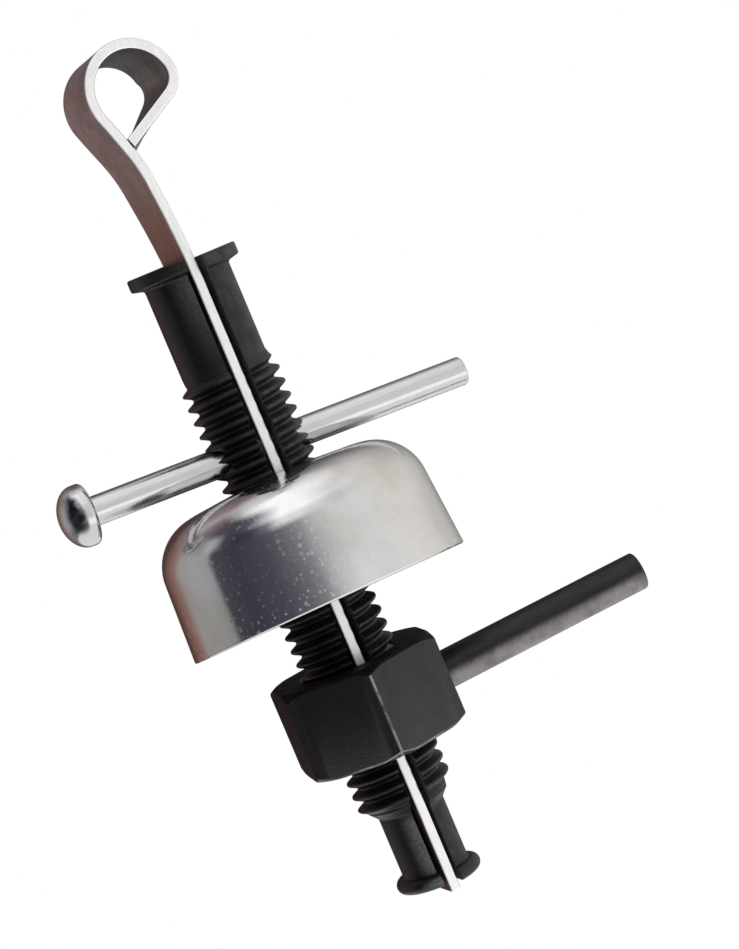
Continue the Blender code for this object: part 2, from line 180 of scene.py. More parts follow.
# The nut's worn corner, and its worn edges and flat sides as rows of faces from the bottom
NUT_WORN_CORNER = 4
NUT_WORN_ROW = 2
NUT_SIDE_ROW = 3
# How near the flat away from the handle a face's middle must lie to be given painted shade
NUT_SHADED_SIDE_MARGIN = 0.1 * MM
NUT_CORNER_STEPS = 6
NUT_FLAT_STEPS = 14
NUT_FACE_SUPPORT = 0.95
NUT_CHAMFER_ANGLE = math.radians(30)
NUT_COUNTERSINK = 0.9 * MM
NUT_BORE_MARGIN = 0.2 * MM
NUT_THREAD_MARGIN = 2.6 * THREAD_PITCH
NUT_STEPS = 96
HANDLE_RADIUS = 3.15 * MM
HANDLE_REACH = 49.6 * MM
HANDLE_DROP = 0.9 * MM
HANDLE_SOCKET_DEPTH = 3.4 * MM
HANDLE_CHAMFER = 0.5 * MM
HANDLE_END_INSET = 0.3 * MM
HANDLE_TILT = math.radians(2.8)
# Where the handle is paler: the middle of the band, as an angle above level on its front side
HANDLE_BAND = math.radians(-42)

# Colours
# Paler thread crests: partly wear, partly a painted highlight
CREST_WEAR_AND_HIGHLIGHT_GREY = (0.050, 0.046, 0.045)
# Painted sheen on the fronts of the plain necks
PAINTED_SHEEN_GREY = (0.15, 0.15, 0.15)
WORN_BLACK = (0.012, 0.012, 0.012)
WORN_METAL = (0.26, 0.255, 0.25)
SAWN_DARK = (0.055, 0.051, 0.050)
SAWN_LIGHT = (0.110, 0.104, 0.100)
LINE_GREY = (0.25, 0.24, 0.24)
# Painted dark reflection on the front of the tommy bar's domed head
PAINTED_DARK_REFLECTION = (0.075, 0.070, 0.078)
SCALE_BROWN = (0.47, 0.33, 0.27)
# Painted shade on the strip where it lies in the slot
SCALE_SLOT_SHADE = (0.13, 0.095, 0.08)
SCALE_LINES = (0.05, 0.04, 0.04)
HANDLE_BLACK = (0.003, 0.002, 0.003)
HANDLE_DARK = (0.012, 0.010, 0.012)
HANDLE_METAL = (0.26, 0.245, 0.26)
PLATING = (0.64, 0.64, 0.645)
PLATING_STAIN = (0.53, 0.515, 0.485)
PLATING_DUST = (0.75, 0.76, 0.80)
FLOOR_DARK = (0.90, 0.90, 0.90)
FLOOR_LIGHT = (0.93, 0.93, 0.93)
WHITE = (1.0, 1.0, 1.0, 1.0)

# Floor
FLOOR_HEIGHT = -250 * MM
FLOOR_RADIUS = 0.45
FLOOR_STEPS = 96
FLOOR_GLOW = 0.45


# ---------------------------------------------------------------- meshes

def linked(name, data):
    """A new object in the scene that holds a mesh or a camera."""
    obj = bpy.data.objects.new(name, data)
    bpy.context.scene.collection.objects.link(obj)
    return obj


def object_from(name, bm, smooth_below=35):
    """Make an object of a bmesh, its faces pointing out. smooth_below is in degrees."""
    bmesh.ops.remove_doubles(bm, verts=bm.verts, dist=MERGE_DISTANCE)
    bmesh.ops.recalc_face_normals(bm, faces=bm.faces)
    mesh = bpy.data.meshes.new(name)
    bm.to_mesh(mesh)
    bm.free()
    mesh.shade_smooth()
    mesh.set_sharp_from_angle(angle=math.radians(smooth_below))
    return linked(name, mesh)


def cut(obj, *cutters):
    """Take the cutters out of obj for good, and remove them."""
    for cutter in cutters:
        modifier = obj.modifiers.new(cutter.name, "BOOLEAN")
        modifier.operation = "DIFFERENCE"
        modifier.solver = "EXACT"
        modifier.object = cutter
    bpy.context.view_layer.update()
    evaluated = obj.evaluated_get(bpy.context.evaluated_depsgraph_get())
    mesh = bpy.data.meshes.new_from_object(evaluated)
    obj.modifiers.clear()
    obj.data = mesh
    for cutter in cutters:
        bpy.data.objects.remove(cutter, do_unlink=True)


def loft(rows, closed):
    """Skin the rows of points into quads; a closed loft joins each row's last point to its first."""
    bm = bmesh.new()
    grid = [[bm.verts.new(point) for point in row] for row in rows]
    count = len(rows[0])
    last = count if closed else count - 1
    for lower, upper in zip(grid, grid[1:]):
        for i in range(last):
            k = (i + 1) % count
            bm.faces.new((lower[i], lower[k], upper[k], upper[i]))
    return bm, grid


def around_z(radius, angle, height):
    return Vector((radius * math.cos(angle), radius * math.sin(angle), height))


def ring(radius, height, steps):
    return [around_z(radius, TURN * i / steps, height) for i in range(steps)]


def turned(name, profile, steps):
    """Turn a profile of (radius, height) about Z; its two ends are closed flat."""
    bm, grid = loft([ring(radius, height, steps) for radius, height in profile], closed=True)
    bm.faces.new(grid[0])
    bm.faces.new(grid[-1])
    return object_from(name, bm)


def arc(centre, radius, start, end, steps):
    """Points on an arc in a profile plane, angles in degrees from the first axis."""
    points = []
    for i in range(steps + 1):
        angle = math.radians(start + (end - start) * i / steps)
        points.append((centre[0] + radius * math.cos(angle), centre[1] + radius * math.sin(angle)))
    return points


def supported(points, closed=False):
    """Add a point near both ends of every long run, so that smooth shading leaves the run straight."""
    result = []
    ends = points[1:] + points[:1] if closed else points[1:]
    for start, end in zip(points, ends):
        result.append(start)
        length = math.dist(start, end)
        if length > SUPPORT_LEAST:
            for share in (SUPPORT_REACH / length, 1 - SUPPORT_REACH / length):
                result.append(tuple(a + (b - a) * share for a, b in zip(start, end)))
    return result if closed else result + [points[-1]]


def empty_slots(obj, count):
    """Add empty material slots before a cut, so that its faces keep their material numbers."""
    for _ in range(count):
        obj.data.materials.append(None)


def place(obj, location, rotation):
    """Move a finished mesh into the frame, so that its object can stay at the origin."""
    matrix = rotation.to_4x4()
    matrix.translation = Vector(location)
    obj.data.transform(matrix)


def finish_piece(obj, body, slot, node, *materials):
    """Give a piece its materials, and set it on its body in place of its CAD node."""
    slots = obj.data.materials
    while len(slots) < len(materials):
        slots.append(None)
    for index, material in enumerate(materials):
        slots[index] = material
    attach(obj, body)
    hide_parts(node)


# ---------------------------------------------------------------- thread

def thread_profile():
    """One pitch of the thread as (height, share of the depth), with Whitworth's rounded tops."""
    sharp = THREAD_PITCH / 2 / math.tan(FLANK_ANGLE)
    rounding = (sharp - THREAD_DEPTH) / 2 / (1 / math.sin(FLANK_ANGLE) - 1)
    reach = math.pi / 2 - FLANK_ANGLE
    crest, root = [], []
    for i in range(THREAD_ARC_STEPS + 1):
        angle = reach * (2 * i / THREAD_ARC_STEPS - 1)
        fall = rounding * (1 - math.cos(angle)) / THREAD_DEPTH
        crest.append((rounding * math.sin(angle), 1 - fall))
        root.append((THREAD_PITCH / 2 + rounding * math.sin(angle), fall))
    return crest + root


def helix_rows(bottom, top, radius_at, thetas_at, lead_in=False):
    """Rows of points along the thread's helix that stay between two heights.

    radius_at(height, share) gives the radius there, and thetas_at(radius) the angles of a row.
    With lead_in, a row at the root that starts too low is kept and held just above the bottom, so
    that the groove below the first crest stays open.
    """
    rows = []
    for turn in range(-1, int(top / THREAD_PITCH) + 2):
        for step, (offset, share) in enumerate(thread_profile()):
            row = []
            for theta in thetas_at(THREAD_DIAMETER / 2 - (1 - share) * THREAD_DEPTH):
                height = THREAD_PITCH * (turn + theta / TURN) + CREST_OFFSET + offset
                row.append((radius_at(height, share), theta, height))
            floor_height = bottom + step * LEAD_IN_STEP
            if row[0][2] > floor_height and row[-1][2] < top:
                rows.append(row)
            elif lead_in and share < 0.5 and row[0][2] <= floor_height < row[-1][2]:
                rows.append([(radius, theta, max(z, floor_height)) for radius, theta, z in row])
    return rows


# ---------------------------------------------------------------- shank

def smooth(value):
    value = min(1.0, max(0.0, value))
    return value * value * (3 - 2 * value)


def shank_radius(height, share):
    """Radius of the shank's thread, which fades out towards both ends."""
    root = THREAD_DIAMETER / 2 - THREAD_DEPTH
    full = root + share * THREAD_DEPTH
    rise = smooth((height - THREAD_BOTTOM) / RUN_OUT_BOTTOM)
    fall = smooth((THREAD_TOP - height) / RUN_OUT_TOP)
    low = root + (full - root) * (RUN_OUT_START + (1 - RUN_OUT_START) * rise)
    return BIG_NECK_RADIUS + (low - BIG_NECK_RADIUS) * fall if fall < 1.0 else low


def half_thetas(side, radius):
    """Angles across one half at a radius, from one edge of the saw cut to the other."""
    reach = math.acos(SAW_KERF / 2 / radius)
    middle = 0.0 if side > 0 else math.pi
    return [middle + reach * (2 * i / HALF_STEPS - 1) for i in range(HALF_STEPS + 1)]


def half_point(side, radius, theta, height, on_edge):
    """A point on a half, its edge points exactly in the plane of the saw cut."""
    spread = side * HALF_SPREAD
    if not on_edge:
        return Vector((radius * math.cos(theta) + spread, radius * math.sin(theta), height))
    across = math.copysign(math.sqrt(radius ** 2 - (SAW_KERF / 2) ** 2), math.sin(theta))
    return Vector((side * SAW_KERF / 2 + spread, across, height))


def low_profile(drop):
    """The small lip and neck, from the end face up to the thread."""
    lip, neck, root = SMALL_LIP_RADIUS, SMALL_NECK_RADIUS, THREAD_DIAMETER / 2 - THREAD_DEPTH
    half = SMALL_LIP_HEIGHT / 2
    bead = arc((lip - half, -half), half, -80, 78, 12)
    shoulder = THREAD_BOTTOM - (root - neck)
    inner = neck + SMALL_FILLET_MIDDLE
    points = [(lip - SMALL_FACE_INSET, -SMALL_LIP_HEIGHT)] + bead
    points += [(neck + SMALL_FILLET_WIDTH, -SMALL_FILLET_RISE), (inner, SMALL_FILLET_RISE)]
    points += [(neck, SMALL_FILLET_HEIGHT), (neck, shoulder - SMALL_FILLET_HEIGHT)]
    points += [(inner, shoulder), (root, THREAD_BOTTOM)]
    return [(radius, height - drop) for radius, height in supported(points)]


def high_profile(drop):
    """The big neck and lip, from the thread up to the end face."""
    lip, neck, fillet = BIG_LIP_RADIUS, BIG_NECK_RADIUS, BIG_NECK_FILLET
    low_round, top_round = BIG_LIP_UNDER_ROUND, BIG_LIP_TOP_ROUND
    under = BIG_LIP_BOTTOM - drop
    top = under + BIG_LIP_HEIGHT
    points = [(neck, THREAD_TOP)]
    points += arc((neck + fillet, under - fillet), fillet, 180, 100, 4)
    points += arc((lip - low_round, under + BIG_LIP_UNDER_RISE), low_round, -75, 0, 4)
    points += arc((lip - top_round, top - top_round), top_round, 0, 90, 4)
    return supported(points + [(lip - BIG_FACE_INSET, top)])


def half_rows(side):
    """All rows of points up one half, each from one edge of the saw cut to the other."""
    drop = END_STEP if side > 0 else 0.0

    def plain(profile):
        return [[(radius, theta, height) for theta in half_thetas(side, radius)]
                for radius, height in profile]

    def thetas_at(radius):
        return half_thetas(side, radius)

    bottom, top = THREAD_BOTTOM + FIT_GAP / 2, THREAD_TOP - FIT_GAP
    thread = helix_rows(bottom, top, shank_radius, thetas_at, lead_in=True)
    rows = []
    for row in plain(low_profile(drop)) + thread + plain(high_profile(drop)):
        edges = (0, len(row) - 1)
        rows.append([half_point(side, *polar, i in edges) for i, polar in enumerate(row)])
    return rows


def cross_hole_cutter():
    """A cylinder along the tommy bar's hole, through both halves."""
    profile = [(CROSS_HOLE_RADIUS, -THREAD_DIAMETER), (CROSS_HOLE_RADIUS, THREAD_DIAMETER)]
    cutter = turned("cross_hole", profile, CROSS_HOLE_STEPS)
    place(cutter, (0.0, 0.0, BAR_HEIGHT), Matrix.Rotation(math.pi / 2, 3, "Y"))
    return cutter


def half_shank(name, side):
    """One half of the split shank. Its second material is for the sawn face."""
    bm, grid = loft(half_rows(side), closed=False)
    bm.faces.new(grid[0])
    bm.faces.new(grid[-1])
    sawn = bm.faces.new([row[0] for row in grid] + [row[-1] for row in reversed(grid)])
    sawn.material_index = 1
    obj = object_from(name, bm)
    empty_slots(obj, 2)
    cut(obj, cross_hole_cutter())
    return obj


# ---------------------------------------------------------------- wedge strip

def strip_path():
    """Centre line of the strip in the XZ plane as (x, z, heading, twist).

    The heading turns from +Z to +X, and the twist is about the heading.
    """
    x, z, heading, twist = STRIP_SHIFT, STRIP_STRAIGHT_TOP, 0.0, 0.0
    path = [(x, STRIP_BOTTOM, heading, twist), (x, z, heading, twist)]
    for degrees, radius, run, end_twist in EYE_BENDS:
        steps = max(EYE_LEAST_STEPS, round(abs(degrees) / EYE_STEP_DEGREES))
        step = math.radians(degrees) / steps
        chord = 2 * radius * math.sin(abs(step) / 2)
        moves = [(step, chord)] * steps
        if run:
            moves += [(0.0, run / EYE_RUN_STEPS)] * EYE_RUN_STEPS
        twist_per_length = (math.radians(end_twist) - twist) / sum(length for _, length in moves)
        for turn, length in moves:
            heading += turn / 2
            x += length * math.sin(heading)
            z += length * math.cos(heading)
            heading += turn / 2
            twist += twist_per_length * length
            path.append((x, z, heading, twist))
    return path


def strip_section():
    """The strip's section as (along its thickness, across its width from the front edge)."""
    half, rounding = STRIP_THICKNESS / 2, STRIP_EDGE_RADIUS
    corners = (
        (half - rounding, STRIP_WIDTH - rounding, 0),
        (rounding - half, STRIP_WIDTH - rounding, 90),
        (rounding - half, rounding, 180),
        (half - rounding, rounding, 270),
    )
    points = []
    for x, y, start in corners:
        points += arc((x, y), rounding, start, start + 90, 4)
    return supported(points, closed=True)


def twisted(point):
    """Turn a point of the strip about the Z axis, by an angle that grows up to the eye."""
    share = (point.z - STRIP_STRAIGHT_TOP) / (EYE_TWIST_TOP - STRIP_STRAIGHT_TOP)
    return Matrix.Rotation(EYE_TWIST * min(1.0, max(0.0, share)), 3, "Z") @ point


def strip_window_cutter():
    """The round-ended window that lets the strip slide past the tommy bar."""
    low = BAR_HEIGHT - STRIP_TRAVEL
    outline = arc((0.0, BAR_HEIGHT), STRIP_WINDOW_RADIUS, 0, 180, STRIP_WINDOW_STEPS)
    outline += arc((0.0, low), STRIP_WINDOW_RADIUS, 180, 360, STRIP_WINDOW_STEPS)
    rows = [[Vector((x, y, z)) for y, z in outline] for x in (-STRIP_WIDTH, STRIP_WIDTH)]
    bm, grid = loft(rows, closed=True)
    bm.faces.new(grid[0])
    bm.faces.new(grid[-1])
    return object_from("strip_window", bm)


def run_and_normal(heading):
    """The directions along the strip and out of its face towards +X, at a heading."""
    along = Vector((math.sin(heading), 0.0, math.cos(heading)))
    return along, Vector((along.z, 0.0, -along.x))


def strip_points(section, x, z, heading, twist):
    """The strip's section at one place on its path."""
    along, normal = run_and_normal(heading)
    front = Vector((x, -STRIP_WIDTH / 2, z))
    turn = Matrix.Rotation(twist, 3, along)
    return [front + turn @ (normal * a + Vector((0.0, b, 0.0))) for a, b in section]


def landed(points, path):
    """Lengthen the eye's end, and slant it, so that it ends just off the strip's own face."""
    x, z, heading, _ = next(place for place in path if place[1] > EYE_LANDING_HEIGHT)
    _, normal = run_and_normal(heading)
    face = Vector((x, 0.0, z)) + normal * (STRIP_THICKNESS / 2 + EYE_END_GAP)
    along, _ = run_and_normal(path[-1][2])
    return [point + along * ((face - point).dot(normal) / along.dot(normal)) for point in points]


def wedge_strip():
    """The flat strip between the halves, bent into an eye at the top.

    Its second material is for the face towards -X, which becomes the outside of the eye, and its
    third for the face towards +X.
    """
    section = strip_section()
    path = strip_path()
    rows = [strip_points(section, *place) for place in path]
    rows[-1] = landed(rows[-1], path)
    bm, grid = loft([[twisted(point) for point in row] for row in rows], closed=True)
    flat = STRIP_THICKNESS / 2 - STRIP_EDGE_RADIUS / 4
    for index, face in enumerate(bm.faces):
        column = index % len(section)
        across = (section[column][0] + section[(column + 1) % len(section)][0]) / 2
        if abs(across) > flat:
            face.material_index = 1 if across < 0 else 2
    bm.faces.new(grid[0])
    bm.faces.new(grid[-1])
    obj = object_from("strip", bm, smooth_below=40)
    empty_slots(obj, 3)
    cut(obj, strip_window_cutter())
    return obj


# ---------------------------------------------------------------- tommy bar

def tommy_bar():
    """A round bar with a domed head on its left end, lying loose in the cross hole."""
    bar, head = BAR_RADIUS, BAR_HEAD_RADIUS
    under = -BAR_LEFT_REACH
    rim = under - BAR_HEAD_RIM
    end, edge, fillet = BAR_END_EDGE, BAR_HEAD_EDGE, BAR_HEAD_FILLET
    profile = [(bar - end - BAR_END_INSET, BAR_RIGHT_REACH)]
    profile += arc((bar - end, BAR_RIGHT_REACH - end), end, 90, 0, 6)
    profile += arc((bar + fillet, under + fillet), fillet, 180, 270, 4)
    profile += arc((head - edge, under - edge), edge, 90, 0, 10)
    profile += [(head, rim)]
    for i in range(1, BAR_DOME_STEPS):
        angle = math.pi / 2 * i / BAR_DOME_STEPS
        profile.append((head * math.cos(angle), rim - BAR_HEAD_DOME * math.sin(angle)))
    obj = turned("bar", supported(profile), ROD_STEPS)
    place(obj, (0.0, 0.0, BAR_HEIGHT), Matrix.Rotation(math.pi / 2 + BAR_DROOP, 3, "Y"))
    return obj


# ---------------------------------------------------------------- bell

def bell_profile():
    """The wall's section as one loop of (radius, height), measured down from the flat top."""
    hole, shoulder, rim, edge = BELL_HOLE_RADIUS, BELL_SHOULDER_RADIUS, BELL_RIM_RADIUS, BELL_EDGE_RADIUS
    centre = (shoulder - BELL_CORNER_RADIUS, -BELL_CORNER_RADIUS - BELL_CROWN_DROP)
    crown = arc((hole + edge, -edge), edge, 180, 90, 5)
    outer = arc(centre, BELL_CORNER_RADIUS, BELL_CORNER_HIGH, BELL_CORNER_LOW, 28)
    inner = arc(centre, BELL_CORNER_RADIUS - BELL_WALL, BELL_CORNER_LOW, BELL_CORNER_HIGH, 20)
    lip_outer = arc((rim - edge, edge - BELL_HEIGHT), edge, 0, -90, 5)
    lip_inner = arc((rim - BELL_WALL + edge, edge - BELL_HEIGHT), edge, -90, -180, 5)
    return supported(crown + outer + lip_outer + lip_inner + inner + [(hole, -BELL_WALL)], closed=True)


def bell():
    """A pressed cup, open side down, tipped on the shank as far as its hole allows."""
    profile = bell_profile()
    rows = []
    for i in range(BELL_STEPS):
        rows.append([around_z(radius, TURN * i / BELL_STEPS, height) for radius, height in profile])
    rows.append(rows[0])
    bm, _ = loft(rows, closed=True)
    obj = object_from("puller_bell", bm, smooth_below=50)
    tilt = Matrix.Rotation(BELL_ROLL, 3, "Y") @ Matrix.Rotation(BELL_TILT, 3, "X")
    place(obj, (BELL_SHIFT, 0.0, BELL_TOP), tilt)
    return obj


# ---------------------------------------------------------------- nut and handle

def close_with_fans(bm, middle):
    """Close the open ends below and above a height, each with a fan about the Z axis."""
    edges = [edge for edge in bm.edges if edge.is_boundary]
    for side in (-1, 1):
        rim = [edge for edge in edges if side * (edge.verts[0].co.z - middle) > 0]
        height = sum(edge.verts[0].co.z for edge in rim) / len(rim)
        apex = bm.verts.new((0.0, 0.0, height))
        for edge in rim:
            bm.faces.new((*edge.verts, apex))


def nut_thread_cutter():
    """The shank's thread, wider by the clearance, and longer than the nut."""
    thetas = [TURN * i / NUT_STEPS for i in range(NUT_STEPS + 1)]

    def radius_at(_height, share):
        return THREAD_DIAMETER / 2 + THREAD_CLEARANCE - (1 - share) * THREAD_DEPTH

    bottom, top = NUT_BOTTOM - NUT_THREAD_MARGIN, NUT_BOTTOM + NUT_HEIGHT + NUT_THREAD_MARGIN
    rows = helix_rows(bottom, top, radius_at, lambda radius: thetas)
    bm, _ = loft([[around_z(*place) for place in row] for row in rows], closed=False)
    bmesh.ops.remove_doubles(bm, verts=bm.verts, dist=MERGE_DISTANCE)
    close_with_fans(bm, (bottom + top) / 2)
    return object_from("nut_thread", bm)


def nut_bore_cutter():
    """Countersinks at both faces of the nut, joined by a bore just inside the thread."""
    wide = THREAD_DIAMETER / 2 + THREAD_CLEARANCE + NUT_BORE_MARGIN
    narrow = wide - NUT_COUNTERSINK - THREAD_DEPTH
    depth = (wide - narrow) * math.tan(NUT_CHAMFER_ANGLE)
    top = NUT_BOTTOM + NUT_HEIGHT
    profile = [(wide, NUT_BOTTOM - CUT_MARGIN), (wide, NUT_BOTTOM), (narrow, NUT_BOTTOM + depth)]
    profile += [(narrow, top - depth), (wide, top), (wide, top + CUT_MARGIN)]
    return turned("nut_bore", profile, NUT_STEPS)


def nut_corner_point(middle, angle):
    """A point on the rounded corner at the angle middle, where the rounding faces angle."""
    centre = (NUT_FLAT_DISTANCE - NUT_CORNER_ROUND) / math.cos(math.pi / 6)
    x = centre * math.cos(middle) + NUT_CORNER_ROUND * math.cos(angle)
    y = centre * math.sin(middle) + NUT_CORNER_ROUND * math.sin(angle)
    return x, y


def nut_outline():
    """The hexagon as (x, y, on the worn corner) points, with its corners rounded."""
    points = []
    for i in range(6):
        middle, following = TURN * (i + 0.5) / 6, TURN * (i + 1.5) / 6
        for k in range(NUT_CORNER_STEPS + 1):
            angle = middle + math.pi / 3 * (k / NUT_CORNER_STEPS - 0.5)
            worn = i == NUT_WORN_CORNER and k < NUT_CORNER_STEPS
            points.append((*nut_corner_point(middle, angle), worn))
        start_x, start_y, _ = points[-1]
        end_x, end_y = nut_corner_point(following, following - math.pi / 6)
        for k in range(1, NUT_FLAT_STEPS):
            share = k / NUT_FLAT_STEPS
            x = start_x + (end_x - start_x) * share
            y = start_y + (end_y - start_y) * share
            points.append((x, y, False))
    return points


def nut_column(x, y):
    """One column of the nut's outside, from its bottom face up to its top face."""
    radius = math.hypot(x, y)
    half = NUT_HEIGHT / 2
    face = min(radius - NUT_EDGE, NUT_FACE_RADIUS) / radius
    drop = max(NUT_EDGE, (radius - NUT_FACE_RADIUS) * math.tan(NUT_CHAMFER_ANGLE))
    inner = Vector((x * face, y * face, -half))
    edge = Vector((x, y, -half + drop))
    support = Vector((inner.x * NUT_FACE_SUPPORT, inner.y * NUT_FACE_SUPPORT, -half))
    worn = min(NUT_WORN / (edge - inner).length, 0.5)
    low = [support, inner, edge.lerp(inner, worn), edge + Vector((0.0, 0.0, NUT_WORN))]
    high = [Vector((point.x, point.y, -point.z)) for point in reversed(low)]
    return low + high


def hex_nut():
    """The hexagon nut.

    Its second material is for the corner and the lower edges that are worn bright, and its third
    for its top, which keeps a thick dark scale, and for the side away from the handle, where the
    same dark scale is painted shade.
    """
    outline = nut_outline()
    columns = [nut_column(x, y) for x, y, _ in outline]
    rows = [[column[i] for column in columns] for i in range(len(columns[0]))]
    bm, grid = loft(rows, closed=True)
    for index, face in enumerate(bm.faces):
        row, column = divmod(index, len(outline))
        # The top keeps a dark scale; the flat away from the handle takes it as painted shade
        if row > NUT_SIDE_ROW or face.calc_center_median().x < NUT_SHADED_SIDE_MARGIN - NUT_FLAT_DISTANCE:
            face.material_index = 2
        elif row == NUT_WORN_ROW or outline[column][2]:
            face.material_index = 1
    bm.faces.new(grid[0])
    bm.faces.new(grid[-1]).material_index = 2
    obj = object_from("nut", bm, smooth_below=28)
    empty_slots(obj, 3)
    place(obj, (0.0, 0.0, NUT_BOTTOM + NUT_HEIGHT / 2), Matrix.Rotation(NUT_TURN, 3, "Z"))
    socket = handle_rod("handle_socket", HANDLE_RADIUS + FIT_GAP / 2, FIT_GAP)
    cut(obj, nut_bore_cutter(), nut_thread_cutter(), socket)
    return obj


def handle_rod(name, radius, deeper):
    """A rod along the nut's +X, tilted up, from inside its socket to the handle's end."""
    inner = NUT_FLAT_DISTANCE - HANDLE_SOCKET_DEPTH - deeper
    edge = HANDLE_CHAMFER
    profile = [(radius, inner)]
    profile += arc((radius - edge, HANDLE_REACH - edge), edge, 0, 90, 6)
    profile += [(radius - edge - HANDLE_END_INSET, HANDLE_REACH)]
    rod = turned(name, supported(profile), ROD_STEPS)
    lean = Matrix.Rotation(NUT_TURN, 3, "Z") @ Matrix.Rotation(math.pi / 2 - HANDLE_TILT, 3, "Y")
    place(rod, (0.0, 0.0, NUT_BOTTOM + NUT_HEIGHT / 2 - HANDLE_DROP), lean)
    return rod


# ---------------------------------------------------------------- materials

class Nodes:
    """A short way to build a node tree, with its position as one kind of texture coordinate."""

    def __init__(self, tree, coordinate):
        self.tree = tree
        coordinates = self.add("TexCoord")
        self.position = coordinates.outputs[coordinate]
        self.facing = coordinates.outputs["Normal"]

    def add(self, kind, **settings):
        node = self.tree.nodes.new("ShaderNode" + kind)
        for key, value in settings.items():
            setattr(node, key, value)
        return node

    def feed(self, socket, value):
        """Set a socket to a value, or link an output to it."""
        if isinstance(value, bpy.types.NodeSocket):
            self.tree.links.new(value, socket)
        else:
            socket.default_value = value

    def math(self, operation, *values):
        node = self.add("Math", operation=operation)
        for socket, value in zip(node.inputs, values):
            self.feed(socket, value)
        return node.outputs[0]

    def axes(self, vector=None):
        """The X, Y and Z of a vector, or of the position."""
        node = self.add("SeparateXYZ")
        self.feed(node.inputs[0], vector or self.position)
        return list(node.outputs)

    def stretched(self, scale):
        """The position with each axis scaled, for marks that run one way."""
        node = self.add("Mapping")
        self.feed(node.inputs["Vector"], self.position)
        node.inputs["Scale"].default_value = scale
        return node.outputs[0]

    def noise(self, scale, detail=4.0, roughness=0.6, vector=None):
        node = self.add("TexNoise")
        self.feed(node.inputs["Vector"], vector or self.position)
        node.inputs["Scale"].default_value = scale
        node.inputs["Detail"].default_value = detail
        node.inputs["Roughness"].default_value = roughness
        return node.outputs[0]

    def ranged(self, value, low, high, to_low=0.0, to_high=1.0):
        """Value brought from low..high to to_low..to_high, smoothly, and held at the ends."""
        node = self.add("MapRange", interpolation_type="SMOOTHSTEP")
        for socket, item in zip(node.inputs, (value, low, high, to_low, to_high)):
            self.feed(socket, item)
        return node.outputs[0]

    def mixed(self, factor, first, second):
        node = self.add("Mix", data_type="RGBA")
        self.feed(node.inputs[0], factor)
        self.feed(node.inputs[6], (*first, 1.0) if isinstance(first, tuple) else first)
        self.feed(node.inputs[7], (*second, 1.0) if isinstance(second, tuple) else second)
        return node.outputs[2]

    def dot(self, vector, direction):
        node = self.add("VectorMath", operation="DOT_PRODUCT")
        self.feed(node.inputs[0], vector)
        node.inputs[1].default_value = direction
        return node.outputs["Value"]

    def bump(self, height, strength, distance, normal=None):
        node = self.add("Bump")
        self.feed(node.inputs["Height"], height)
        node.inputs["Strength"].default_value = strength
        node.inputs["Distance"].default_value = distance
        if normal:
            self.feed(node.inputs["Normal"], normal)
        return node.outputs[0]


class MaterialNodes(Nodes):
    """The node tree of a new material, around its one shader."""

    def __init__(self, name):
        self.material = bpy.data.materials.new(name)
        self.material.use_nodes = True
        super().__init__(self.material.node_tree, "Object")
        self.shader = self.tree.nodes["Principled BSDF"]

    def finish(self, colour, roughness, normal, metallic, specular=0.5):
        self.shader.inputs["Specular IOR Level"].default_value = specular
        self.feed(self.shader.inputs["Base Color"], colour)
        self.feed(self.shader.inputs["Roughness"], roughness)
        self.feed(self.shader.inputs["Normal"], normal)
        self.feed(self.shader.inputs["Metallic"], metallic)
        return self.material


def black_steel(name, dark, light, roughness, specular, crest_radius=None, crest_rub_and_highlight=0.0, sheen=0.0):
    """Blackened steel: mottled and slightly pitted.

    With a crest_radius, the last two arguments set how far the thread's crests are made paler,
    partly as wear and partly as a painted highlight, and how far the fronts of the plain necks
    beyond the thread's ends are made paler, as a painted sheen.
    """
    n = MaterialNodes(name)
    mottle = n.noise(420.0, 5.0, 0.65)
    grain = n.noise(3600.0, 3.0, 0.5)
    colour = n.mixed(n.ranged(mottle, 0.35, 0.75), dark, light)
    if crest_radius:
        x, y, z = n.axes()
        square = n.math("ADD", n.math("POWER", x, 2.0), n.math("POWER", y, 2.0))
        radius = n.math("SQRT", square)
        # Crests made paler: partly wear, partly a painted highlight
        paler_mask = n.ranged(radius, crest_radius - 0.30 * MM, crest_radius + 0.05 * MM)
        patchy = n.math("MULTIPLY", paler_mask, n.ranged(mottle, 0.35, 0.7, 0.1, 1.0))
        colour = n.mixed(n.math("MULTIPLY", patchy, crest_rub_and_highlight), colour, CREST_WEAR_AND_HIGHLIGHT_GREY)
        # Painted sheen: the fronts of the plain necks are made paler, in place of a reflection of the
        # bright studio.
        below_lip = n.ranged(radius, crest_radius + 0.2 * MM, crest_radius + 0.6 * MM, 0.45, 0.0)
        above = n.math("MULTIPLY", n.ranged(z, THREAD_TOP - 2 * MM, BIG_LIP_BOTTOM), below_lip)
        below = n.ranged(z, THREAD_BOTTOM - 3 * MM, THREAD_BOTTOM - 1 * MM, 1.0, 0.0)
        front = n.ranged(n.dot(n.facing, (0.0, -1.0, 0.0)), 0.66, 1.0, 0.0, sheen)
        grainy = n.ranged(n.noise(2200.0, 4.0, 0.6), 0.30, 0.65, 0.5, 1.0)
        share = n.math("MULTIPLY", n.math("MAXIMUM", above, below), n.math("MULTIPLY", front, grainy))
        colour = n.mixed(share, colour, PAINTED_SHEEN_GREY)
    rough = n.ranged(mottle, 0.25, 0.8, roughness + 0.08, roughness - 0.08)
    pits = n.bump(n.ranged(grain, 0.3, 0.7), 0.35, 0.05 * MM)
    normal = n.bump(mottle, 0.25, 0.25 * MM, pits)
    return n.finish(colour, rough, normal, 0.0, specular)


